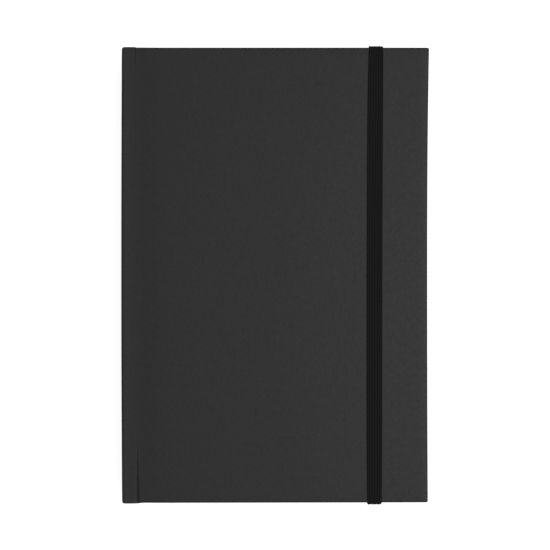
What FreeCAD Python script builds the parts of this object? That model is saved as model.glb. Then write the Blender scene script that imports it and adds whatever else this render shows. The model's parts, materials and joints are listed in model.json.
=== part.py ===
import FreeCAD, Part

import math
import os

# A case-bound sketchbook with an elastic closure band, lying on its back cover.
# Millimetres. X runs from the spine (-X) to the fore-edge (+X), Y from tail (-Y) to head (+Y),
# and Z up through the thickness. The origin is the middle of the box's bottom face.

os.makedirs("parts", exist_ok=True)

# ---- Driving dimensions ------------------------------------------------------------------

# Paper
leaf_width = 142.2
leaf_height = 216.0
leaf_thickness = 0.15
leaves_per_signature = 8
signature_count = 12
fold_flat = 0.2  # what stays flat between the two roundings of a signature's folded edge

# Covers
square_head = 3.0  # how far a board stands past the leaves at head and at tail
square_fore = 4.0  # the same at the fore-edge
board_thickness = 2.0
cloth_thickness = 0.3
paper_thickness = 0.15  # endpapers
board_corner_radius = 0.8
edge_rounding = 0.25  # rounding of the covering over the boards' outer edges
turn_in_width = 15.0
pastedown_margin = 3.0
joint_width = 7.0  # from the spine's outer face to a board's covered edge
crease_depth = 1.5  # from a cover's outer face down to the bottom of its crease

# Spine, from the folds outwards
thread_diameter = 0.4
mull_thickness = 0.2
lining_thickness = 0.2
hollow_gap = 0.7
spine_board_thickness = 1.2
spine_inset = 0.4  # the spine's shoulders lie this far inside the covers' outer faces
spine_overhang = 0.4  # the spine covering stands this far past the boards at head and tail
spine_corner_radius = 1.0
mull_margin = 13.0  # the mull stops this far short of the leaves' head and tail
lining_margin = 5.0
flange_width = 20.0  # the mull's flange glued under each pastedown
sewing_stations = 5
sewing_margin = 11.0  # from the mull's ends to the outer sewing stations
headband_radius = 0.7
headband_tab_height = 12.0

# Closure band
band_width = 7.0
band_thickness = 0.75
band_from_fore_edge = 25.7  # to the band's centre line
band_leg = 1.2  # how far the front strip's bent ends reach down over the cover's edges
band_corner_radius = 0.5
tab_length = 22.0
tab_thickness = 0.6
tab_recess = 0.3  # how deep the tab is pressed into the board

# Clearances
turn_clearance = 0.2  # between pieces in the stack that turn separately
gutter_clearance = 0.3  # between the edges of such pieces along the gutter
band_clearance = 0.05
pivot_step = 0.15  # the joint strip's pivot lies this far below the front cover's inner face
gutter_fold_width = 1.2  # the part of the first signature that stays sewn flat

# ---- Sizes that follow --------------------------------------------------------------------

cover_height = leaf_height + 2 * square_head
head = cover_height / 2
leaf_head = leaf_height / 2
mull_head = leaf_head - mull_margin
lining_head = leaf_head - lining_margin
sewing_pitch = 2 * (mull_head - sewing_margin) / (sewing_stations - 1)

spine_depth = (
    thread_diameter
    + mull_thickness
    + lining_thickness
    + hollow_gap
    + spine_board_thickness
    + cloth_thickness
)
total_width = spine_depth + leaf_width + square_fore
x_spine = -total_width / 2
x_fore = total_width / 2
x_fold = x_spine + spine_depth
x_leaf_edge = x_fold + leaf_width
x_cover_edge = x_spine + joint_width
x_board = x_cover_edge + cloth_thickness
x_spine_inner = x_spine + 2 * cloth_thickness + spine_board_thickness

cover_thickness = board_thickness + 2 * cloth_thickness + paper_thickness
signature_thickness = leaves_per_signature * leaf_thickness
fold_radius = (signature_thickness - fold_flat) / 2

z_board_inner = cloth_thickness + board_thickness
z_turn_in = z_board_inner + cloth_thickness
z_back_flyleaf = cover_thickness + turn_clearance
z_block = z_back_flyleaf + paper_thickness
z_fixed_top = z_block + (signature_count - 1) * signature_thickness
z_first_signature = z_fixed_top + turn_clearance
z_first_top = z_first_signature + signature_thickness
z_front_flyleaf = z_first_top + turn_clearance
z_front_cover = z_front_flyleaf + paper_thickness + turn_clearance
total_thickness = z_front_cover + cover_thickness

# Pivot lines of the front cover, along Y: one at the shoulder of the spine, one in the crease.
shoulder_x = x_spine_inner + turn_clearance
shoulder_z = z_front_cover - pivot_step
crease_x = x_cover_edge - gutter_clearance
crease_z = total_thickness - crease_depth

x_gutter_start = x_fold + gutter_fold_width + gutter_clearance
x_gutter_end = crease_x - gutter_clearance
x_turn_start = crease_x + gutter_clearance

band_x = x_fore - band_from_fore_edge


# ---- Helpers ------------------------------------------------------------------------------


def box(x, y, z):
    """A box from its (low, high) spans along each axis."""
    corner = FreeCAD.Vector(x[0], y[0], z[0])
    return Part.makeBox(x[1] - x[0], y[1] - y[0], z[1] - z[0], corner)


def spread(half):
    """The span from -half to half."""
    return (-half, half)


def to_front(shape):
    """The same shape on the front side of the book."""
    middle = FreeCAD.Vector(0, 0, total_thickness / 2)
    return shape.mirror(middle, FreeCAD.Vector(0, 0, 1))


def to_tail(shape):
    """The same shape at the tail of the book."""
    return shape.mirror(FreeCAD.Vector(0, 0, 0), FreeCAD.Vector(0, 1, 0))


def round_edges(solid, radius, wanted):
    """The solid with the edges that wanted(edge) picks rounded."""
    return solid.makeFillet(radius, [e for e in solid.Edges if wanted(e)])


def along(edge, axis):
    """Whether a straight edge runs along an axis, given as 0, 1 or 2."""
    ends = [v.Point for v in edge.Vertexes]
    if len(ends) != 2:
        return False
    step = ends[1] - ends[0]
    return all(abs(step[i]) < 1e-6 for i in range(3) if i != axis)


def save(shape, node):
    solids = shape.Solids
    result = solids[0] if len(solids) == 1 else Part.makeCompound(solids)
    result.exportStep("parts/" + node + ".step")


# ---- Covers (drawn for the back, and mirrored for the front) --------------------------------


def board():
    x = (x_board, x_fore - cloth_thickness)
    solid = box(x, spread(head - cloth_thickness), (cloth_thickness, z_board_inner))
    return round_edges(solid, board_corner_radius, lambda e: along(e, 2))


def cover_cloth():
    """The covering: outer sheet, wrapped edges, and turn-ins on the inner face."""
    solid = box((x_cover_edge, x_fore), spread(head), (0, z_turn_in))
    solid = round_edges(
        solid, board_corner_radius + cloth_thickness, lambda e: along(e, 2)
    )
    outer = [e for e in solid.Edges if e.BoundBox.ZMax < 1e-6]
    solid = solid.makeFillet(edge_rounding, outer)
    window = box(
        (x_cover_edge, x_fore - turn_in_width),
        spread(head - turn_in_width),
        (z_board_inner, z_turn_in),
    )
    crease_wall = box((x_cover_edge, x_board), spread(head), (crease_depth, z_turn_in))
    return solid.cut(board()).cut(window).cut(crease_wall)


def mull_flange():
    x = (x_board + gutter_clearance, x_board + flange_width)
    z = (z_board_inner, z_board_inner + mull_thickness)
    return box(x, spread(mull_head), z)


def pastedown():
    """The endpaper half glued to the board, over the turn-ins and the flange."""
    solid = box(
        (x_board, x_fore - pastedown_margin),
        spread(head - pastedown_margin),
        (z_board_inner, cover_thickness),
    )
    return solid.cut(cover_cloth()).cut(mull_flange())


def joint_cloth():
    """The flexible strip of covering between the spine's shoulder and the crease."""
    x_low = x_spine_inner + gutter_clearance
    x_high = crease_x
    shoulder = spine_inset + cloth_thickness / 2
    outline = [
        (x_low, shoulder),
        (x_high, crease_depth),
        (x_high, crease_depth + cloth_thickness),
        (x_low, shoulder + cloth_thickness),
    ]
    points = [FreeCAD.Vector(x, -head, z) for x, z in outline]
    face = Part.Face(Part.makePolygon(points + points[:1]))
    return face.extrude(FreeCAD.Vector(0, cover_height, 0))


# ---- Closure band ---------------------------------------------------------------------------

band_span = (band_x - band_width / 2, band_x + band_width / 2)
z_tab = z_board_inner - tab_recess
z_band_split = total_thickness - band_leg
y_band = head + band_clearance


def band_tab():
    """The band's end at the head, glued down between the back board and its pastedown."""
    return box(band_span, (head - tab_length, head), (z_tab, z_tab + tab_thickness))


def band_arm():
    """The band along the head, from where it leaves the back cover to the front strip."""
    z = (z_tab, z_band_split - band_clearance)
    return box(band_span, (y_band, y_band + band_thickness), z)


def band_strip():
    """The band across the front cover, with both ends bent down over its edges."""
    z_high = total_thickness + band_clearance + band_thickness
    outer = box(band_span, spread(y_band + band_thickness), (z_band_split, z_high))
    outer = round_edges(
        outer,
        band_corner_radius,
        lambda e: along(e, 0) and e.BoundBox.ZMin > z_high - 1e-6,
    )
    inner_top = total_thickness + band_clearance
    return outer.cut(box(band_span, spread(y_band), (z_band_split, inner_top)))


# ---- Spine ----------------------------------------------------------------------------------


def spine_block(grow, x_inner):
    """The spine board's outline grown outwards by grow, up to the plane x_inner."""
    x = (x_spine + cloth_thickness - grow, x_inner)
    y = head + spine_overhang - cloth_thickness + grow
    z_low = spine_inset + cloth_thickness - grow
    solid = box(x, spread(y), (z_low, total_thickness - z_low))
    return round_edges(
        solid,
        spine_corner_radius + grow,
        lambda e: along(e, 1) and e.BoundBox.XMax < x[0] + 1e-6,
    )


def spine_board():
    x_inner = x_spine_inner - cloth_thickness
    return spine_block(0, x_inner)


def spine_cloth():
    """Covering over the spine board, turned in at head and tail."""
    solid = spine_block(cloth_thickness, x_spine_inner)
    opening = box(
        (x_spine_inner - cloth_thickness, x_spine_inner),
        spread(head - turn_in_width),
        (0, total_thickness),
    )
    return solid.cut(spine_board()).cut(opening)


def mull():
    x_high = x_fold - thread_diameter
    x = (x_high - mull_thickness, x_high)
    return box(x, spread(mull_head), (z_block, z_first_top))


def spine_lining():
    x_high = x_fold - thread_diameter - mull_thickness
    x = (x_high - lining_thickness, x_high)
    return box(x, spread(lining_head), (z_block, z_first_top))


def headband():
    """A bead along the spine end of the leaves, on a tab glued to the spine."""
    x_tab = x_fold - thread_diameter - mull_thickness
    y_bead = leaf_head + headband_radius + band_clearance
    start = FreeCAD.Vector(x_tab + headband_radius, y_bead, z_block)
    height = z_first_top - z_block
    bead = Part.makeCylinder(
        headband_radius, height, start, FreeCAD.Vector(0, 0, 1)
    )
    y = (y_bead - headband_tab_height, y_bead)
    tab = box((x_tab, x_tab + mull_thickness), y, (z_block, z_first_top))
    return bead.fuse(tab)


def sewing_threads():
    """One run of link stitches across the folds at each sewing station."""
    radius = thread_diameter / 2
    length = z_first_top - z_block - signature_thickness
    runs = []
    for i in range(sewing_stations):
        y = (i - (sewing_stations - 1) / 2) * sewing_pitch
        start = FreeCAD.Vector(x_fold - radius, y, z_block + signature_thickness / 2)
        runs.append(Part.makeCylinder(radius, length, start, FreeCAD.Vector(0, 0, 1)))
    return Part.makeCompound(runs)


# ---- Paper ----------------------------------------------------------------------------------


def leaves(x_low, x_high, z_low, thickness):
    return box((x_low, x_high), spread(leaf_head), (z_low, z_low + thickness))


def folded(solid):
    """The solid with its folded edge, on the spine side, rounded."""
    return round_edges(
        solid,
        fold_radius,
        lambda e: along(e, 1) and e.BoundBox.XMax < x_fold + 1e-6,
    )


def signature(z_low):
    return folded(leaves(x_fold, x_leaf_edge, z_low, signature_thickness))


def endpaper_fold():
    """The folded strip of the front endpaper that joins its flyleaf to its pastedown."""
    x = (x_fold + gutter_clearance, x_gutter_end)
    solid = box(x, spread(leaf_head), (z_front_flyleaf, z_front_cover + paper_thickness))
    slot = box(
        (x[0] + paper_thickness, x[1]),
        spread(leaf_head),
        (z_front_flyleaf + paper_thickness, z_front_cover),
    )
    return solid.cut(slot)


def endpaper_joint():
    """The strip of the back endpaper that crosses the back joint."""
    x = (x_fold + gutter_clearance, x_gutter_end)
    z_high = cover_thickness
    return box(x, spread(leaf_head), (z_high - paper_thickness, z_high))


# ---- Write every piece ------------------------------------------------------------------------

tab = band_tab()
tabs = tab.fuse(to_tail(tab))

save(to_front(board()), "front_board")
save(to_front(cover_cloth()), "front_cover_cloth")
save(to_front(pastedown()), "front_pastedown")
save(to_front(mull_flange()), "front_mull_flange")
save(to_front(joint_cloth()), "front_joint_cloth")

save(board().cut(tabs), "back_board")
save(cover_cloth().cut(tabs), "back_cover_cloth")
save(pastedown().cut(tabs), "back_pastedown")
save(mull_flange(), "back_mull_flange")
save(joint_cloth(), "back_joint_cloth")

save(tab, "band_head_tab")
save(to_tail(tab), "band_tail_tab")
save(band_arm(), "band_head_arm")
save(to_tail(band_arm()), "band_tail_arm")
save(band_strip(), "band_front_strip")

save(spine_board(), "spine_board")
save(spine_cloth(), "spine_cloth")
save(spine_lining(), "spine_lining")
save(mull(), "mull")
save(headband(), "headband")
save(to_tail(headband()), "tailband")
save(sewing_threads(), "sewing_threads")

save(endpaper_fold(), "front_endpaper_fold")
save(endpaper_joint(), "back_endpaper_joint")
save(
    leaves(x_turn_start, x_leaf_edge, z_front_flyleaf, paper_thickness),
    "front_flyleaf",
)
save(leaves(x_fold, x_leaf_edge, z_back_flyleaf, paper_thickness), "back_flyleaf")

fold_end = x_fold + gutter_fold_width
save(
    folded(leaves(x_fold, fold_end, z_first_signature, signature_thickness)),
    "signature_01_fold",
)
save(
    leaves(x_gutter_start, x_gutter_end, z_first_signature, signature_thickness),
    "signature_01_gutter",
)
save(
    leaves(x_turn_start, x_leaf_edge, z_first_signature, signature_thickness),
    "signature_01",
)
for number in range(2, signature_count + 1):
    z_low = z_block + (signature_count - number) * signature_thickness
    save(signature(z_low), "signature_%02d" % number)

# The joints' places, for whoever writes the record.
print("total", total_width, cover_height, total_thickness)
print("front shoulder pivot", shoulder_x, shoulder_z)
print("front crease pivot", crease_x, crease_z)
print("back pivots", total_thickness - shoulder_z, total_thickness - crease_z)
print("band exit", band_x, z_tab + tab_thickness / 2)
print("band take-up", total_thickness - 2 * (z_tab + tab_thickness / 2))
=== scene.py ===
import json
import math

import bmesh
import bpy
import numpy as np
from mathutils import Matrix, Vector


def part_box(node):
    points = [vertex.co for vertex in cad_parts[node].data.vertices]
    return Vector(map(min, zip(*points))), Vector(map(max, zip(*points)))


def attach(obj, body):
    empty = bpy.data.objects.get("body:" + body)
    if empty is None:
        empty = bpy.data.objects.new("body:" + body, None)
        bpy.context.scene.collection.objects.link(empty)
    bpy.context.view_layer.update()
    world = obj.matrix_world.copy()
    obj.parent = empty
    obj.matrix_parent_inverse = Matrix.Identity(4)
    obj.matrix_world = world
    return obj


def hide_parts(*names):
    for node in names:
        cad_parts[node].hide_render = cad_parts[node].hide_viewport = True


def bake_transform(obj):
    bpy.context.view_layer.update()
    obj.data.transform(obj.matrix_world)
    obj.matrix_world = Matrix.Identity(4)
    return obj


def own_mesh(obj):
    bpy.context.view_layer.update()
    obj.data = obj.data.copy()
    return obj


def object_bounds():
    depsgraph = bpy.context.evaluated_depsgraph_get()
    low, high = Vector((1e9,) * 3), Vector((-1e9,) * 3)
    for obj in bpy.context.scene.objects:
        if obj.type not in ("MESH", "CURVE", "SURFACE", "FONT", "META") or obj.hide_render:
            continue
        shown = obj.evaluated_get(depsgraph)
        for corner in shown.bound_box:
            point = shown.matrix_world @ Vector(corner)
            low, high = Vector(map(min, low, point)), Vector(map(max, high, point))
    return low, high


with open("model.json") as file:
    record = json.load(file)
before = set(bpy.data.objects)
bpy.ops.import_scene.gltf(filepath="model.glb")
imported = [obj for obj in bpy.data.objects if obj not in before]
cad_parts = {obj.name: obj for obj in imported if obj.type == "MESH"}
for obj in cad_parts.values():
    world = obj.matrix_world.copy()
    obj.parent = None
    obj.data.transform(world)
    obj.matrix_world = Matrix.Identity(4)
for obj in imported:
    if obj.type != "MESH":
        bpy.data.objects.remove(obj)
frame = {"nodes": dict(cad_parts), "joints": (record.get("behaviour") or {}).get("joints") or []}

# A closed hardcover sketchbook with an elastic band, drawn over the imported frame. Metres.
# X runs from the spine to the fore-edge, Y from tail to head, Z from back cover to front cover.
# The covers and the halves of the spine are drawn for the front, and mirrored for the back.

cad_low, cad_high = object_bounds()
MM = 0.001
rng = np.random.default_rng(20)

# ---- Sizes, read from the frame -----------------------------------------------------------

cloth_low, cloth_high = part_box("front_cover_cloth")
spine_low, spine_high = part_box("spine_cloth")
fold_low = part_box("front_endpaper_fold")[0]
flyleaf_low, flyleaf_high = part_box("front_flyleaf")
paste_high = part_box("front_pastedown")[1]
first_low, first_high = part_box("signature_01")
sewn_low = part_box("signature_01_fold")[0]
gutter_low, gutter_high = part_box("signature_01_gutter")
strip_low, strip_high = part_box("band_front_strip")
joints = {joint["name"]: joint for joint in frame["joints"]}

TOTAL = cloth_high.z  # thickness of the book without its band
HEAD = cloth_high.y
SPINE_HEAD = spine_high.y
SPINE_INSET = spine_low.z
X_SPINE = spine_low.x
X_SPINE_INNER = spine_high.x
X_EDGE = cloth_low.x  # a board's covered edge in the crease
X_FORE = cloth_high.x
X_CREASE = joints["front_crease_hinge"]["pos_m"][0]
X_SEAM = (X_SPINE_INNER + X_CREASE) / 2  # where the covering's meshes meet, in the joint strip
COVER_DEPTH = TOTAL - cloth_low.z  # from the outer face to the turned-in cloth
LEAF = flyleaf_high.z - flyleaf_low.z

# ---- Small shapes that the frame's plain solids leave out -----------------------------------

CREASE_AT_HEAD = -0.1 * MM  # the visible crease wanders from the hinge line, more so at the tail
CREASE_AT_TAIL = 1.1 * MM
JOINT_DEPTH = 0.62 * MM  # how far the joint strip lies below the cover's face beside the crease
BOARD_RISE = 6.5 * MM  # how soon, past the crease, the covering is back at the cover's face
GROOVE_LEAST = 0.05 * MM  # half width of the pressed crease in the middle of the cover
GROOVE_HEAD = 0.6 * MM  # how much it widens at the head, and how suddenly
GROOVE_HEAD_POWER = 25
GROOVE_TAIL = 1.05 * MM  # how much it widens at the tail, between these shares of the way there
GROOVE_TAIL_FROM = 0.5
GROOVE_TAIL_TO = 0.93
GROOVE_TAIL_POWER = 3.2
GROOVE_STEEPNESS = 0.68
COVER_ROUND = 0.8 * MM  # roundings of the cover's outer and inner edges
COVER_ROUND_INNER = 0.35 * MM
CORNER_SHRINK = 0.6  # how much the outer rounding gives way to the corner's
STRIP_ROUND = 0.28 * MM
STRIP_THICKNESS = 0.36 * MM
STRIP_END_HALF = 0.4 * MM  # half the stretch over which the strip's overhang ends
FULL_ROUND = 2.5 * MM  # past the crease: from the strip's small end rounding to the cover's own
SHOULDER_ROUND = 1.3 * MM
SHOULDER_THICKNESS = 1.0 * MM
CORNER_SPINE_SIDE = 1.1 * MM
CORNER_FORE_EDGE = 0.6 * MM
FORE_FLARE_HEAD = 0.9 * MM  # how far the fore-edge's corners stand out
FORE_FLARE_TAIL = 0.3 * MM
FLARE_POWER = 2.5
SPINE_BULGE = 0.2 * MM
SPINE_PULL_HEAD = 0.27 * MM  # how far the spine's ends are drawn in
SPINE_PULL_TAIL = 0.42 * MM
TAIL_SKEW = 0.26 * MM  # how much shorter the cover is at its fore-edge than at its spine edge
STRIP_PAST_TAIL = 1.7 * MM  # how far past the board's edge the strip's overhang runs at the tail
NOTCH_DEPTH = 0.14 * MM  # the dip in the outline where the strip's overhang ends
NOTCH_PLACE = 1.0 * MM
NOTCH_WIDTH = 0.45 * MM
END_FULLNESS = 0.05 * MM  # how far the covering stands out past the boards' ends
TURN_IN_SHOWN = 12.0 * MM  # width of the turned-in cloth under a pastedown
TURN_IN_STEP = 1.0 * MM  # the stretch over which a pastedown steps down at the cloth's edge
TURN_IN_BELOW = 0.03 * MM  # how far the covering's inner side lies under the pastedown
PASTE_SINK = 0.12 * MM  # how far a pastedown sinks where no cloth is turned in under it
BARE_BOARD_SINK = 0.25 * MM  # how far the covering's inner side draws back there
SINK_FROM = 8 * MM  # it starts this far before the turned-in cloth's edge, and is over after this
SINK_OVER = 6 * MM
X_STRIP = X_SPINE_INNER - 0.4 * MM  # where the joint strip starts to sink below the spine's height
COVER_STATIONS = 52  # spans along Y between the roundings of the ends
BOARD_STATIONS = 22

# Places across the crease where the covering has points, in half widths of the groove, and past it.
GROOVE_SIDE = np.array([0.05, 0.15, 0.4, 0.7, 0.95, 1.05, 1.2, 2])
GROOVE_STATIONS = np.concatenate([-GROOVE_SIDE[::-1], [0], GROOVE_SIDE])
RISE_STATIONS = MM * np.array([2.5, 3.1, 3.8, 4.8, 6, 7.5, 9.5, 12])


def smoothstep(t):
    t = np.clip(t, 0, 1)
    return t * t * (3 - 2 * t)


def inset(d, radius):
    """How far a rounded edge has drawn back at distance d from the end plane."""
    d = np.minimum(np.maximum(d, 0), radius)
    return radius - np.sqrt(np.maximum(radius**2 - (radius - d) ** 2, 0))


def crease_x(y):
    """The crease's place at y."""
    t = (HEAD - y) / (2 * HEAD)
    return X_CREASE + CREASE_AT_HEAD + (CREASE_AT_TAIL - CREASE_AT_HEAD) * t


def groove_width(y):
    """Half width of the pressed crease, which opens towards head and tail."""
    u = min(abs(y / HEAD), 1)
    if y > 0:
        return GROOVE_LEAST + GROOVE_HEAD * u**GROOVE_HEAD_POWER
    share = min(max((u - GROOVE_TAIL_FROM) / (GROOVE_TAIL_TO - GROOVE_TAIL_FROM), 0), 1)
    return GROOVE_LEAST + GROOVE_TAIL * share**GROOVE_TAIL_POWER


def depth_below_face(x, y):
    """Depth of the covering's outer surface below the flat of the cover."""
    t = x - crease_x(y)
    reach = crease_x(y) - X_STRIP
    across = np.clip(1 + t / reach, 0, 1)
    strip = SPINE_INSET + (JOINT_DEPTH - SPINE_INSET) * (1 - (1 - across) ** 2)
    board = JOINT_DEPTH * np.exp(-((np.maximum(t, 0) / BOARD_RISE) ** 2))
    groove = GROOVE_STEEPNESS * np.maximum(groove_width(y) - np.abs(t), 0)
    return float(np.where(t < 0, strip, board) + groove)


# ---- Mesh helpers ----------------------------------------------------------------------------


def add_mesh(name, verts, faces, material, sharp=38):
    """A new object, shaded smooth but for edges sharper than the given angle."""
    mesh = bpy.data.meshes.new(name)
    mesh.from_pydata([tuple(map(float, v)) for v in verts], [], faces)
    bm = bmesh.new()
    bm.from_mesh(mesh)
    bmesh.ops.recalc_face_normals(bm, faces=bm.faces)
    for face in bm.faces:
        face.smooth = True
    for edge in bm.edges:
        edge.smooth = edge.calc_face_angle(math.pi) < math.radians(sharp)
    bm.to_mesh(mesh)
    bm.free()
    obj = bpy.data.objects.new(name, mesh)
    bpy.context.scene.collection.objects.link(obj)
    mesh.materials.append(material)
    return obj


def loft(rings):
    """Vertices and faces of a closed skin over rings of equally many points."""
    n = len(rings[0])
    verts = [point for ring in rings for point in ring]
    faces = []
    for a in range(len(rings) - 1):
        for i in range(n):
            j = (i + 1) % n
            faces.append((a * n + i, a * n + j, (a + 1) * n + j, (a + 1) * n + i))
    faces.append(tuple(range(n)))
    faces.append(tuple((len(rings) - 1) * n + i for i in reversed(range(n))))
    return verts, faces


def joined(lofts):
    """One set of vertices and faces from several."""
    verts, faces = [], []
    for more_verts, more_faces in lofts:
        faces += [tuple(i + len(verts) for i in face) for face in more_faces]
        verts += more_verts
    return verts, faces


def arc(x, z, radius_x, radius_z, start, end, count):
    """Points round a centre, from one angle to another."""
    angles = np.linspace(start, end, count)
    return [(x + radius_x * math.cos(a), z + radius_z * math.sin(a)) for a in angles]


def end_stations(half, radius, middle):
    """Places along Y, close together where the ends are rounded."""
    near = radius * (1 - np.cos(np.linspace(0, math.pi / 2, 8)))
    inner = np.linspace(-half + radius, half - radius, middle + 1)[1:-1]
    return np.concatenate([-half + near, inner, (half - near)[::-1]])


def mirrored(rings):
    """The same rings on the back of the book."""
    return [[(x, y, TOTAL - z) for x, y, z in ring] for ring in rings]


def both_sides(rings):
    """The front's rings as they are, and the back's mirrored."""
    return (("front", rings), ("back", mirrored(rings)))


# ---- Covering --------------------------------------------------------------------------------


def fore_edge(y):
    u = y / HEAD
    flare = FORE_FLARE_HEAD if u > 0 else FORE_FLARE_TAIL
    return X_FORE + flare * abs(u) ** FLARE_POWER - inset(HEAD - abs(y), CORNER_FORE_EDGE)


def spine_face(y):
    u = y / SPINE_HEAD
    pull = SPINE_PULL_HEAD if u > 0 else SPINE_PULL_TAIL
    return X_SPINE - SPINE_BULGE + pull * u**2


def skew(x, y):
    """How far the cover's tail edge is drawn in, growing towards the fore-edge."""
    return TAIL_SKEW * (x - X_EDGE) / (X_FORE - X_EDGE) if y < 0 else 0


def end_shift(x, y):
    """How the head and tail edges depart from the boards' straight ends."""
    strip_end = X_EDGE if y > 0 else X_EDGE + STRIP_PAST_TAIL
    share = smoothstep((x - strip_end + STRIP_END_HALF) / (2 * STRIP_END_HALF))
    strip = (SPINE_HEAD - HEAD) * (1 - share)
    notch = -NOTCH_DEPTH * math.exp(-(((x - strip_end - NOTCH_PLACE) / NOTCH_WIDTH) ** 2))
    return (strip + notch + END_FULLNESS * share - max(skew(x, y), 0)) * y / HEAD


def inside_turn_in(x, y):
    """How far a place on a board's inner face lies inside the turned-in cloth."""
    return min(paste_high.x - TURN_IN_SHOWN - x, paste_high.y - TURN_IN_SHOWN - abs(y))


def cover_face(y, across):
    """The outer face at y, from the seam to the fore-edge's rounding, as (x, depth) pairs."""
    end = HEAD - abs(y)
    crease = crease_x(y)
    xs = [X_SEAM] + list(crease + groove_width(y) * GROOVE_STATIONS) + list(crease + RISE_STATIONS)
    xs += list(np.linspace(xs[-1], across, 30)[1:])
    points = []
    for x in xs:
        share = smoothstep((x - crease) / FULL_ROUND)
        drop = inset(end, STRIP_ROUND) * (1 - share) + inset(end, COVER_ROUND) * share
        points.append((x, depth_below_face(x, y) + drop))
    return points


def cover_inner_side(y, edge, low):
    """The inner side at y, from the fore-edge to the board's edge and back to the seam."""
    points = []
    for x in np.linspace(edge - COVER_ROUND_INNER, X_EDGE, 26)[1:]:
        sink = BARE_BOARD_SINK * smoothstep((inside_turn_in(x, y) + SINK_FROM) / SINK_OVER)
        points.append((x, COVER_DEPTH - low - TURN_IN_BELOW - sink))
    for x in np.linspace(X_EDGE, X_SEAM, 9):
        deepest = max(depth_below_face(x + dx * MM, y) for dx in (-0.2, 0, 0.2))
        points.append((x, deepest + STRIP_THICKNESS))
    return points


def cover_ring(y):
    """Outline of the front covering at y, from the joint strip's seam round the board and back."""
    end = HEAD - abs(y)
    top, low = inset(end, COVER_ROUND), inset(end, COVER_ROUND_INNER)
    across = fore_edge(y) - COVER_ROUND
    outer, inner = COVER_ROUND - top * CORNER_SHRINK, COVER_ROUND_INNER
    edge = across + outer
    ring = cover_face(y, across)
    ring += arc(across, top + outer, outer, outer, -math.pi / 2, 0, 7)[1:]
    ring += arc(edge - inner, COVER_DEPTH - low - inner, inner, inner, 0, math.pi / 2, 5)
    ring += cover_inner_side(y, edge, low)
    return [(x, y + end_shift(x, y), TOTAL - depth) for x, depth in ring]


def spine_ring(y):
    """Outline of half of the spine with its shoulder and half of the joint strip, at y."""
    end = HEAD - abs(y)
    out = spine_face(y) + inset(end, CORNER_SPINE_SIDE)
    low = inset(end, STRIP_ROUND)
    radius = SHOULDER_ROUND
    shoulder = TOTAL - SPINE_INSET - low
    ring = [(out, z) for z in np.linspace(TOTAL / 2, shoulder - radius, 8)]
    ring += arc(out + radius, shoulder - radius, radius, radius, math.pi, math.pi / 2, 8)[1:]
    for x in np.linspace(out + radius, X_SEAM, 9)[1:]:
        ring.append((x, TOTAL - depth_below_face(x, y) - low))
    for x in (X_SEAM, X_SPINE_INNER + 0.3 * MM):
        ring.append((x, TOTAL - depth_below_face(x, y) - STRIP_THICKNESS))
    ring += [(X_SPINE_INNER, shoulder - SHOULDER_THICKNESS), (X_SPINE_INNER, TOTAL / 2)]
    return [(x, y * SPINE_HEAD / HEAD, z) for x, z in ring]


def build_covering(side, rings, material):
    """The covering of one cover, and its strip over the joint."""
    obj = add_mesh(side + "_covering", *loft(rings), material)
    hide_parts(side + "_cover_cloth", side + "_joint_cloth")
    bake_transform(obj)


def build_half_of_spine(side, rings, material):
    obj = add_mesh(side + "_half_of_spine", *loft(rings), material)
    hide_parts("spine_cloth")
    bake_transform(obj)


def build_covers(material):
    """The covering of the covers, joints and spine, which is one sheet on the real book."""
    covers = both_sides([cover_ring(y) for y in end_stations(HEAD, COVER_ROUND, COVER_STATIONS)])
    spine = both_sides([spine_ring(y) for y in end_stations(HEAD, CORNER_SPINE_SIDE, COVER_STATIONS)])
    for (side, cover), (_, half_of_spine) in zip(covers, spine):
        build_covering(side, cover, material)
        build_half_of_spine(side, half_of_spine, material)


# ---- Boards, which are seen only where the covering leaves them bare --------------------------

BOARD_GAP = 0.03 * MM  # between a board and what lies on it
BOARD_SHORT = 0.4 * MM  # how far a board stays inside its ends and its fore-edge
BOARD_NARROW = 0.35 * MM
BOARD_BEVEL = 0.5 * MM
BOARD_CREASE_SIDE = 0.4 * MM  # height of the edge beside the crease, under its bevel
BOARD_TOPS = MM * np.array([1.1, 1.6, 2.4, 3.4, 5.0])  # bevel's points, measured from the crease


def board_ring(y, low, high, end):
    """Outline of the front board at y, following the covering down beside the crease."""
    out = high.x - BOARD_NARROW - inset(end - abs(y), CORNER_FORE_EDGE)
    x, z = low.x + BOARD_GAP, low.z + BOARD_GAP
    ring = [(x, z), (x, low.z + BOARD_CREASE_SIDE)]
    ring += [(x, high.z - depth_below_face(x, y)) for x in crease_x(y) + BOARD_TOPS]
    ring += [(out - BOARD_BEVEL, high.z - BOARD_GAP), (out, high.z - BOARD_BEVEL), (out, z)]
    return [(x, y + skew(x, y), z) for x, z in ring]


def build_boards(material):
    low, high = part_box("front_board")
    end = high.y - BOARD_SHORT
    stations = end_stations(end, CORNER_FORE_EDGE, BOARD_STATIONS)
    board = [board_ring(y, low, high, end) for y in stations]
    for side, rings in both_sides(board):
        obj = add_mesh(side + "_board_panel", *loft(rings), material)
        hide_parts(side + "_board")
        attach(obj, side + "_cover")


def build_spine_board(material):
    """The thin stiffener inside the spine."""
    low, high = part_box("spine_board")
    gap, radius, short = 0.1 * MM, 0.8 * MM, 0.3 * MM
    end = high.y - short
    rings = []
    for y in end_stations(end, radius, 8):
        x0, x1 = low.x + gap + inset(end - abs(y), radius), high.x - gap
        lower = [(x0, low.z + radius), (x0 + radius / 2, low.z + gap), (x1, low.z + gap)]
        upper = [(x1, high.z - gap), (x0 + radius / 2, high.z - gap), (x0, high.z - radius)]
        rings.append([(x, y, z) for x, z in lower + upper])
    obj = add_mesh("spine_stiffener", *loft(rings), material)
    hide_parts("spine_board")
    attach(obj, "text_block")


# ---- Paper -----------------------------------------------------------------------------------

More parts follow.
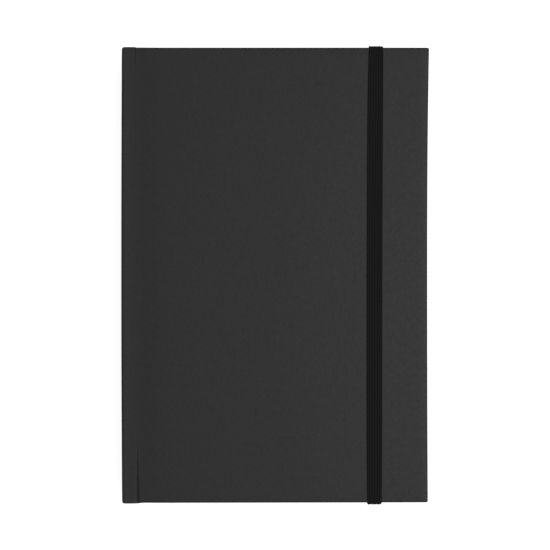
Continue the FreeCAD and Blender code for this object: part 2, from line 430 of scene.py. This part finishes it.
SHEETS_PER_SIGNATURE = 4
LEAF_FILL = 0.93  # a leaf's share of its place in the stack; the rest is air
ENDPAPER_FILL = 0.96
LEAF_SPREAD_X = 0.035 * MM  # how unevenly leaves and signatures end
LEAF_SPREAD_Y = 0.03 * MM
SIGNATURE_SPREAD_START = 0.06 * MM
SIGNATURE_SPREAD_END = 0.05 * MM
FOLD_BELLY = 0.75  # how far a fold reaches out, as a share of its half height
FOLD_CLEAR = 0.1 * MM  # the least run of a leaf before its fold
FOLD_POINTS_FROM = 1.0 * MM  # and where it has points for that bend
X_LEAF_START = X_CREASE - 2.0 * MM  # where a turning leaf begins, before its bend
X_TURN_END = X_CREASE + 2.2 * MM  # where turning leaves are flat again


def sheet_ring(path, thickness, y):
    """Outline of a thin sheet at y: out along the path's outer side and back on the other."""
    path = np.array(path)
    step = np.gradient(path, axis=0)
    normal = np.stack([-step[:, 1], step[:, 0]], 1)
    normal /= np.linalg.norm(normal, axis=1)[:, None]
    a, b = path + normal * thickness / 2, path - normal * thickness / 2
    return [(x, y, z) for x, z in list(a) + list(b[::-1])]


def page_stations(half):
    return np.linspace(-half, half, 9)


def sheet(path, thickness, half):
    """A thin sheet's skin, straight along Y."""
    return loft([sheet_ring(path, thickness, y) for y in page_stations(half)])


def leaf(path, half):
    """A leaf's skin, shifted a little along Y as bound leaves are."""
    dy = rng.normal(0, LEAF_SPREAD_Y)
    return loft([sheet_ring(path, LEAF * LEAF_FILL, y + dy) for y in page_stations(half)])


def folded_path(z_low, z_high, x_fold, x_low_end, x_high_end, grid):
    """A folded sheet's path: in along the lower leaf, round the fold, out along the upper one."""
    middle, rise = (z_low + z_high) / 2, (z_high - z_low) / 2
    belly = FOLD_BELLY * rise
    xs = [x for x in grid if x > x_fold + belly + FOLD_CLEAR]
    path = [(x, z_low) for x in [x_low_end] + [x for x in xs[::-1] if x < x_low_end]]
    path += arc(x_fold + belly, middle, belly, rise, -math.pi / 2, -1.5 * math.pi, 9)
    path += [(x, z_high) for x in [x for x in xs if x < x_high_end] + [x_high_end]]
    return path


def nested_sheets(z_low, half, grid, x_fold, x_end):
    """A signature's folded sheets, one inside the other, whose leaves end near x_end."""
    sheets = []
    for k in range(SHEETS_PER_SIGNATURE):
        z0 = z_low + (k + 0.5) * LEAF
        z1 = z_low + (2 * SHEETS_PER_SIGNATURE - k - 0.5) * LEAF
        e0, e1 = rng.normal(0, LEAF_SPREAD_X, 2)
        path = folded_path(z0, z1, x_fold + k * LEAF, x_end + e0, x_end + e1, grid)
        sheets.append(leaf(path, half))
    return joined(sheets)


def stacked_leaves(z_low, half, xs):
    """A signature's leaves lying flat on each other, from xs[0] to xs[-1]."""
    leaves = []
    for k in range(2 * SHEETS_PER_SIGNATURE):
        row = list(xs)
        row[-1] += rng.normal(0, LEAF_SPREAD_X)
        leaves.append(leaf([(x, z_low + (k + 0.5) * LEAF) for x in row], half))
    return joined(leaves)


def build_text_block(paper):
    low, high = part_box("signature_02")
    grid = np.linspace(low.x, high.x, 7)[1:-1]
    for number in range(2, 13):
        node = "signature_%02d" % number
        low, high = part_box(node)
        end = high.x + rng.normal(0, SIGNATURE_SPREAD_END)
        start = low.x + abs(rng.normal(0, SIGNATURE_SPREAD_START))
        obj = add_mesh(node + "_sheets", *nested_sheets(low.z, high.y, grid, start, end), paper)
        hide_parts(node)
        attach(obj, "text_block")


def build_first_signature(paper):
    """The first signature: a sewn part that bends up out of the gutter, and leaves that turn."""
    half, z = first_high.y, first_low.z
    middle = (gutter_low.x + gutter_high.x) / 2
    near = list(np.linspace(sewn_low.x + FOLD_POINTS_FROM, middle, 9))
    fold = nested_sheets(z, half, near[:-1], sewn_low.x, middle)
    obj = add_mesh("first_signature_fold", *fold, paper)
    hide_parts("signature_01_fold", "signature_01_gutter")
    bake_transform(obj)

    xs = list(np.linspace(middle, X_TURN_END, 14))
    xs += list(np.linspace(X_TURN_END, first_high.x, 12))[1:]
    obj = add_mesh("first_signature_leaves", *stacked_leaves(z, half, xs), paper)
    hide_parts("signature_01")
    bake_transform(obj)


# ---- Endpapers ---------------------------------------------------------------------------------

PASTE_SINK_PAST = 1.0 * MM  # how far past the board's edge a pastedown starts to sink
PASTE_SINK_OVER = 2 * MM


def gutter_fold(z, z_leaf, start, end, count):
    """An endpaper's fold in the gutter, between its pasted half at z and its leaf at z_leaf."""
    middle, rise = (z + z_leaf) / 2, abs(z - z_leaf) / 2
    return arc(fold_low.x + rise, middle, rise, rise, start, end, count)


def paste_columns():
    """Places along X with points, close together in the bend and where the pastedown steps down."""
    inner = paste_high.x - TURN_IN_SHOWN
    xs = list(np.linspace(fold_low.x + 0.3 * MM, X_TURN_END, 18))
    xs += list(np.linspace(xs[-1], inner - TURN_IN_STEP, 14))[1:]
    xs += list(inner - TURN_IN_STEP * np.linspace(1, 0, 6)[1:])
    return xs + list(np.linspace(inner, paste_high.x, 7))[1:]


def paste_stations():
    """Places along Y with points, close together where the pastedown steps down."""
    inner = paste_high.y - TURN_IN_SHOWN
    upper = list(inner - TURN_IN_STEP * np.linspace(1, 0, 6))
    upper += list(np.linspace(inner, paste_high.y, 5))[1:]
    middle = list(np.linspace(-inner + TURN_IN_STEP, inner - TURN_IN_STEP, 9))[1:-1]
    return [-y for y in upper[::-1]] + middle + upper


def paste_sink(x, y):
    """How far a pastedown sinks onto the bare board, off the turned-in cloth and the joint."""
    share = smoothstep((x - X_EDGE - PASTE_SINK_PAST) / PASTE_SINK_OVER)
    return PASTE_SINK * share * smoothstep(inside_turn_in(x, y) / TURN_IN_STEP)


def build_pastedown(side, paper):
    """A pastedown with the part of its sheet that lies in the gutter."""
    low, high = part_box(side + "_pastedown")
    front = side == "front"
    thickness = LEAF * ENDPAPER_FILL
    z = low.z + thickness / 2 if front else high.z - thickness / 2
    into_board = 1 if front else -1
    path = [(x, z) for x in paste_columns()]
    if front:
        z_leaf = (flyleaf_low.z + flyleaf_high.z) / 2
        path = [(X_LEAF_START, z_leaf)] + gutter_fold(z, z_leaf, -math.pi / 2, -1.5 * math.pi, 7) + path
    rings = [[(x, y, z + into_board * paste_sink(x, y)) for x, y, z in sheet_ring(path, thickness, y)]
             for y in paste_stations()]
    obj = add_mesh(side + "_pastedown_sheet", *loft(rings), paper)
    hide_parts(side + "_pastedown", "front_endpaper_fold" if front else "back_endpaper_joint")
    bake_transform(obj)


def build_front_flyleaf(paper):
    z = (flyleaf_low.z + flyleaf_high.z) / 2
    xs = list(np.linspace(X_LEAF_START, X_TURN_END, 18))
    xs += list(np.linspace(xs[-1], flyleaf_high.x, 10))[1:]
    flyleaf = sheet([(x, z) for x in xs], LEAF * ENDPAPER_FILL, flyleaf_high.y)
    obj = add_mesh("front_flyleaf_sheet", *flyleaf, paper)
    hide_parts("front_flyleaf")
    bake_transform(obj)


def build_back_flyleaf(paper):
    """The back flyleaf, and the fold between it and the back pastedown."""
    low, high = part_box("back_flyleaf")
    thickness = LEAF * ENDPAPER_FILL
    z = (low.z + high.z) / 2
    flyleaf = sheet([(x, z) for x in np.linspace(low.x, high.x, 9)], thickness, high.y)
    obj = add_mesh("back_flyleaf_sheet", *flyleaf, paper)
    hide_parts("back_flyleaf")
    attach(obj, "text_block")

    z_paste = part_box("back_pastedown")[1].z - thickness / 2
    fold = gutter_fold(z_paste, z, math.pi / 2, 1.5 * math.pi, 11)
    path = [(fold_low.x + 0.9 * MM, z)] + fold + [(fold_low.x + 0.5 * MM, z_paste)]
    obj = add_mesh("back_endpaper_fold", *sheet(path, thickness, flyleaf_high.y), paper)
    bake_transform(obj)


# ---- Closure band ------------------------------------------------------------------------------

RIB_HEIGHTS = (1.0, 0.75, 0.95, 0.8, 1.0, 0.85)
RIBS = len(RIB_HEIGHTS)
STEPS_PER_RIB = 8
BAND_THICKNESS = 0.72 * MM
BAND_EDGE_SPINE = 0.05  # share of the width that rounds down to each edge
BAND_EDGE_FORE = 0.14
BAND_LEAN_HEAD = 0.65 * MM  # the band lies a little askew
BAND_LEAN_REST = -0.12 * MM
BAND_FULLNESS = 0.09  # how much wider it lies on the cover than round its edges
BAND_OUT = HEAD + 0.15 * MM
BAND_UNDER = TOTAL + 0.02 * MM
BAND_BEND = 0.55 * MM
BAND_LEG = strip_low.z  # where the front strip's bent ends meet the sides
EXIT_DROP = 0.3 * MM
BACK_OF_BAND = 0.12 * MM  # how far the flat back is drawn in at its edges


def band_section(width):
    """Across the band: (offset along X, height over its underside), rolled over at the fore-edge."""
    half = width / 2
    points = []
    steps = RIBS * STEPS_PER_RIB
    for i in range(steps + 1):
        u = i / steps
        rib = abs(math.sin(math.pi * RIBS * u)) ** 0.6 * RIB_HEIGHTS[min(int(RIBS * u), RIBS - 1)]
        left = math.sin(math.pi / 2 * min(u / BAND_EDGE_SPINE, 1)) ** 0.7
        right = math.sin(math.pi / 2 * min((1 - u) / BAND_EDGE_FORE, 1)) ** 0.8
        edge = min(left, right)
        points.append((-half + width * u, BAND_THICKNESS * (0.2 + 0.3 * edge + 0.5 * rib * edge)))
    for i in range(9):
        u = 1 - i / 8
        points.append((-half + width * u, BACK_OF_BAND * (1 - math.sin(math.pi * u) ** 0.3)))
    return points


def band_centre(y):
    middle = (strip_low.x + strip_high.x) / 2
    u = (y / HEAD + 1) / 2
    return middle + BAND_LEAN_REST + (BAND_LEAN_HEAD - BAND_LEAN_REST) * max(u, 0) ** 4


def band_width(y):
    return (strip_high.x - strip_low.x) * (1 + BAND_FULLNESS - BAND_FULLNESS * abs(y / HEAD) ** 6)


def band_bend(y, z, start, end, count):
    """Stations (y, z, normal along Y, normal along Z) round one of the band's bends."""
    points = arc(y, z, BAND_BEND, BAND_BEND, start, end, count)
    normals = arc(0, 0, 1, 1, start, end, count)
    return [point + normal for point, normal in zip(points, normals)]


def band_ring(station, x, width):
    y, z, ny, nz = station
    return [(x + dx, y + ny * height, z + nz * height) for dx, height in band_section(width)]


def build_band_front(material):
    """The strip across the front cover, with its ends bent down over head and tail."""
    inner, top = BAND_OUT - BAND_BEND, BAND_UNDER - BAND_BEND
    legs = np.linspace(BAND_LEG, top, 4)
    path = [(-BAND_OUT, z, -1, 0) for z in legs]
    path += band_bend(-inner, top, math.pi, math.pi / 2, 8)[1:-1]
    path += [(y, BAND_UNDER, 0, 1) for y in np.linspace(-inner, inner, 60)]
    path += band_bend(inner, top, math.pi / 2, 0, 8)[1:-1]
    path += [(BAND_OUT, z, 1, 0) for z in legs[::-1]]
    rings = [band_ring(station, band_centre(station[0]), band_width(station[0])) for station in path]
    obj = add_mesh("closure_band_front", *loft(rings), material, sharp=70)
    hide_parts("band_front_strip")
    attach(obj, "band_front")


def build_band_sides(material):
    """The parts that run down past the leaves at head and tail, into the back cover."""
    x_exit, _, z_exit = joints["band_flip"]["pos_m"]
    low = z_exit - EXIT_DROP
    path = [(BAND_OUT - 1.2 * MM, low, 0, -1)]
    path += band_bend(BAND_OUT - BAND_BEND, low + BAND_BEND, -math.pi / 2, 0, 7)
    path += [(BAND_OUT, z, 1, 0) for z in np.linspace(z_exit + 1.0 * MM, BAND_LEG + 0.05 * MM, 14)]
    for end, sign in (("head", 1), ("tail", -1)):
        x_top, width = band_centre(sign * HEAD), band_width(sign * HEAD)
        rings = []
        for y, z, ny, nz in path:
            share = max((z - z_exit) / (BAND_LEG - z_exit), 0)
            rings.append(band_ring((sign * y, z, sign * ny, nz), x_exit + (x_top - x_exit) * share, width))
        obj = add_mesh("closure_band_" + end, *loft(rings), material, sharp=70)
        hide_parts("band_%s_arm" % end)
        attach(obj, "band_sides")
        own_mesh(obj)


# ---- Headbands ---------------------------------------------------------------------------------

THREAD_TURNS = 26
STEPS_PER_TURN = 8
CORE_SHARE = 0.82  # the headband's core, the rest of its radius being the thread round it


def build_headbands(material):
    """A core wound with thread, across the spine end of the leaves."""
    for node, sign in (("headband", 1), ("tailband", -1)):
        low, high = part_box(node)
        radius = (high.x - low.x) / 2
        x = low.x + radius
        y = high.y - radius if sign > 0 else low.y + radius
        steps = THREAD_TURNS * STEPS_PER_TURN
        rings = []
        for i in range(steps + 1):
            z = low.z + (high.z - low.z) * i / steps
            bulge = CORE_SHARE + (1 - CORE_SHARE) * abs(math.sin(math.pi * i / STEPS_PER_TURN))
            ends = min(1, i / 4 + 0.35, (steps - i) / 4 + 0.35)
            r = radius * bulge * ends
            rings.append([(px, py, z) for px, py in arc(x, y, r, r, 0, 2 * math.pi, 14)[:-1]])
        obj = add_mesh(node + "_bead", *loft(rings), material, sharp=80)
        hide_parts(node)
        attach(obj, "text_block")


# ---- Materials -----------------------------------------------------------------------------------


class Nodes:
    """Short calls for a material's node tree."""

    def __init__(self, name):
        self.material = bpy.data.materials.new(name)
        self.material.use_nodes = True
        self.tree = self.material.node_tree
        self.shader = self.tree.nodes["Principled BSDF"]
        self.place = self.add("ShaderNodeTexCoord").outputs["Object"]

    def add(self, kind, inputs=(), **settings):
        node = self.tree.nodes.new(kind)
        for key, value in settings.items():
            setattr(node, key, value)
        for key, value in dict(inputs).items():
            self.feed(node.inputs[key], value)
        return node

    def feed(self, socket, value):
        if isinstance(value, bpy.types.NodeSocket):
            self.tree.links.new(value, socket)
        else:
            socket.default_value = value

    def set(self, **inputs):
        """Feeds the shader's sockets, named with _ for each space."""
        for key, value in inputs.items():
            self.feed(self.shader.inputs[key.replace("_", " ")], value)

    def stretched(self, scale):
        return self.add("ShaderNodeMapping", {"Vector": self.place, "Scale": scale}).outputs[0]

    def noise(self, scale, vector=None, detail=2.0, rough=0.5):
        inputs = {"Vector": vector or self.place, "Scale": scale, "Detail": detail, "Roughness": rough}
        return self.add("ShaderNodeTexNoise", inputs).outputs["Fac"]

    def ramp(self, fac, low, high, colours):
        node = self.add("ShaderNodeValToRGB", {"Fac": fac})
        a, b = node.color_ramp.elements
        a.position, b.position = low, high
        a.color, b.color = (*colours[0], 1), (*colours[1], 1)
        return node.outputs["Color"]

    def math(self, operation, *values):
        node = self.add("ShaderNodeMath", operation=operation)
        for i, value in enumerate(values):
            self.feed(node.inputs[i], value)
        return node.outputs[0]

    def mix(self, a, b, share):
        """Two heights or tones, share being how much of b there is."""
        return self.math("ADD", self.math("MULTIPLY", a, 1 - share), self.math("MULTIPLY", b, share))

    def bump(self, height, distance, strength=1.0, under=None):
        inputs = {"Height": height, "Distance": distance, "Strength": strength}
        if under is not None:
            inputs["Normal"] = under
        return self.add("ShaderNodeBump", inputs).outputs["Normal"]


def grey(value):
    return (value, value, value)


def leatherette():
    """Black imitation leather with a fine pebbled grain."""
    m = Nodes("black_leatherette")
    cells = {"Vector": m.place, "Scale": 1150.0, "Smoothness": 0.4}
    pebbles = m.add("ShaderNodeTexVoronoi", cells, feature="SMOOTH_F1").outputs["Distance"]
    fine = m.noise(3600.0, detail=2.0)
    uneven = m.noise(420.0, detail=3.0, rough=0.6)
    colour = m.ramp(m.mix(pebbles, uneven, 0.5), 0.25, 0.7, (grey(0.0098), grey(0.0062)))
    rough = m.ramp(uneven, 0.3, 0.7, (grey(0.44), grey(0.52)))
    normal = m.bump(pebbles, 0.06 * MM, 0.6)
    normal = m.bump(fine, 0.015 * MM, 0.5, under=normal)
    m.set(Base_Color=colour, Roughness=rough, Normal=normal, Specular_IOR_Level=0.205)
    return m.material


def elastic():
    """Black woven elastic: threads across the band, and fibres along it."""
    m = Nodes("woven_elastic")
    across = m.stretched((300.0, 1300.0, 1300.0))
    waves = {"Vector": across, "Scale": 1.0, "Distortion": 1.2, "Detail": 1.0}
    weave = m.add("ShaderNodeTexWave", waves, wave_type="BANDS", bands_direction="Y").outputs["Fac"]
    fibre = m.noise(1.0, vector=m.stretched((6500.0, 1800.0, 1800.0)), detail=2.0)
    cloth = m.mix(weave, fibre, 0.5)
    colour = m.ramp(cloth, 0.25, 0.8, (grey(0.002), grey(0.0065)))
    normal = m.bump(cloth, 0.06 * MM, 0.7)
    m.set(Base_Color=colour, Normal=normal, Roughness=0.8, Specular_IOR_Level=0.1)
    return m.material


def paper(name, light, dark):
    """Paper with fibres and tooth, each leaf of a slightly different tone."""
    m = Nodes(name)
    fibre = m.noise(900.0, detail=4.0, rough=0.65)
    tooth = m.noise(2600.0, detail=2.0)
    by_leaf = m.add("ShaderNodeNewGeometry").outputs["Random Per Island"]
    colour = m.ramp(m.mix(fibre, by_leaf, 0.4), 0.2, 0.8, (dark, light))
    normal = m.bump(tooth, 0.02 * MM, 0.5)
    normal = m.bump(fibre, 0.02 * MM, 0.4, under=normal)
    m.set(Base_Color=colour, Normal=normal, Roughness=0.9, Specular_IOR_Level=0.25)
    return m.material


def pulp(name, light, dark, scale):
    """Board, kraft paper and thread: mottled fibres in two tones."""
    m = Nodes(name)
    fibre = m.noise(scale, detail=5.0, rough=0.7)
    colour = m.ramp(fibre, 0.3, 0.7, (dark, light))
    m.set(Base_Color=colour, Normal=m.bump(fibre, 0.05 * MM, 0.6), Roughness=0.9, Specular_IOR_Level=0.2)
    return m.material


def gauze():
    """The mull's open weave."""
    m = Nodes("mull_gauze")
    threads = [m.add("ShaderNodeTexWave", {"Vector": m.place, "Scale": 480.0}, bands_direction=axis)
               for axis in "YZ"]
    weave = m.math("MAXIMUM", *(wave.outputs["Fac"] for wave in threads))
    colour = m.ramp(weave, 0.4, 0.8, ((0.5, 0.46, 0.38), (0.78, 0.74, 0.66)))
    m.set(Base_Color=colour, Normal=m.bump(weave, 0.1 * MM, 0.8), Roughness=0.95)
    return m.material


FLOOR_BOUNCE = 0.3  # how much of its light the floor gives back to the book
FLOOR_TONE = 0.45  # and how much of it is seen, with a glow that brings it to white
FLOOR_GLOW = 0.7


def floor_material():
    """Pale where it is seen, and darker where it lights the book, so that edges stand out."""
    m = Nodes("pale_floor")
    seen = m.add("ShaderNodeLightPath").outputs["Is Camera Ray"]
    tone = m.ramp(seen, 0.0, 1.0, (grey(FLOOR_BOUNCE), grey(FLOOR_TONE)))
    glow = m.math("MULTIPLY", seen, FLOOR_GLOW)
    m.set(Base_Color=tone, Emission_Color=(1, 1, 1, 1), Emission_Strength=glow)
    m.set(Roughness=1.0, Specular_IOR_Level=0.0)
    return m.material


# ---- Build everything ---------------------------------------------------------------------------

cover_material = leatherette()
band_material = elastic()
page_paper = paper("drawing_paper", (0.68, 0.657, 0.6), (0.57, 0.552, 0.497))
end_paper = paper("endpaper", (0.69, 0.67, 0.625), (0.635, 0.615, 0.57))
board_material = pulp("grey_board", (0.4, 0.37, 0.32), (0.26, 0.24, 0.2), 700.0)
kraft = pulp("kraft_lining", (0.5, 0.37, 0.24), (0.36, 0.26, 0.16), 1200.0)
linen = pulp("linen_thread", (0.82, 0.8, 0.74), (0.62, 0.6, 0.54), 4000.0)
headband_cotton = pulp("headband_cotton", (0.8, 0.79, 0.74), (0.6, 0.58, 0.52), 5200.0)
mull_material = gauze()

build_covers(cover_material)
build_boards(board_material)
build_spine_board(board_material)
build_text_block(page_paper)
build_first_signature(page_paper)
build_pastedown("front", end_paper)
build_pastedown("back", end_paper)
build_front_flyleaf(end_paper)
build_back_flyleaf(end_paper)
build_band_front(band_material)
build_band_sides(band_material)
build_headbands(headband_cotton)

finishes = {
    "mull": mull_material,
    "front_mull_flange": mull_material,
    "back_mull_flange": mull_material,
    "spine_lining": kraft,
    "sewing_threads": linen,
    "band_head_tab": band_material,
    "band_tail_tab": band_material,
}
for node, finish in finishes.items():
    slots = frame["nodes"][node].data.materials
    slots.clear()
    slots.append(finish)

# ---- Stage, lights and camera ----------------------------------------------------------------------

FLOOR_HALF = 12.0  # metres, so that its edge is far away in low views
FLOOR_BELOW = 0.75 * MM  # just far enough for the opened back cover to lie on it

CORNERS = [(-FLOOR_HALF, -FLOOR_HALF, 0), (FLOOR_HALF, -FLOOR_HALF, 0),
           (FLOOR_HALF, FLOOR_HALF, 0), (-FLOOR_HALF, FLOOR_HALF, 0)]
floor = add_mesh("floor", CORNERS, [(0, 1, 2, 3)], floor_material())
floor.location.z = cad_low.z - FLOOR_BELOW


def sky_tones(nodes, links, tones):
    """The sky's brightness by height. Tones are (sine of the elevation, brightness), upwards."""
    split = nodes.new("ShaderNodeSeparateXYZ")
    links.new(nodes.new("ShaderNodeTexCoord").outputs["Generated"], split.inputs[0])
    ramp = nodes.new("ShaderNodeValToRGB")
    links.new(split.outputs["Z"], ramp.inputs["Fac"])
    stops = ramp.color_ramp.elements
    while len(stops) < len(tones):
        stops.new(0.5)
    for stop, (height, tone) in zip(stops, tones):
        stop.position = height
        stop.color = (*grey(tone), 1)
    return ramp.outputs["Color"]


def build_world(strength, tones):
    """Soft light all round, in the given tones, behind a white backdrop."""
    world = bpy.data.worlds.new("studio")
    bpy.context.scene.world = world
    world.use_nodes = True
    nodes, links = world.node_tree.nodes, world.node_tree.links
    backdrop = nodes.new("ShaderNodeMix")
    backdrop.data_type = "RGBA"
    seen, sky, white = (backdrop.inputs[i] for i in (0, 6, 7))
    links.new(nodes.new("ShaderNodeLightPath").outputs["Is Camera Ray"], seen)
    links.new(sky_tones(nodes, links, tones), sky)
    white.default_value = (1, 1, 1, 1)
    links.new(backdrop.outputs[2], nodes["Background"].inputs["Color"])
    nodes["Background"].inputs["Strength"].default_value = strength


def area_light(name, place, target, size, power):
    light = bpy.data.lights.new(name, "AREA")
    light.shape = "DISK"
    light.size = size
    light.energy = power
    obj = bpy.data.objects.new(name, light)
    obj.location = place
    obj.rotation_euler = (Vector(target) - Vector(place)).to_track_quat("-Z", "Y").to_euler()
    bpy.context.scene.collection.objects.link(obj)


# Brightest between 37 and 57 degrees up, and dark at the horizon, so that the cover's edges are dark.
build_world(1.35, [(0.0, 0.13), (0.35, 0.42), (0.6, 0.92), (0.84, 0.92), (0.95, 0.64), (1.0, 0.58)])
area_light("soft_key", (0.66, -0.06, 1.2), (0.02, 0, 0.01), 1.0, 9.5)

VIEW_WIDTH = 268.06 * MM  # what the picture spans at the front cover
LENS = 100.0
SENSOR = 36.0
CAMERA_X = 0.32 * MM  # how far the picture's middle lies from the book's
CAMERA_Y = 0.15 * MM
camera_data = bpy.data.cameras.new("camera")
camera_data.lens = LENS
camera_data.sensor_width = SENSOR
camera = bpy.data.objects.new("camera", camera_data)
camera.location = (CAMERA_X, CAMERA_Y, TOTAL + VIEW_WIDTH * LENS / SENSOR)
bpy.context.scene.collection.objects.link(camera)
bpy.context.scene.camera = camera
bpy.context.scene.view_settings.view_transform = "Standard"
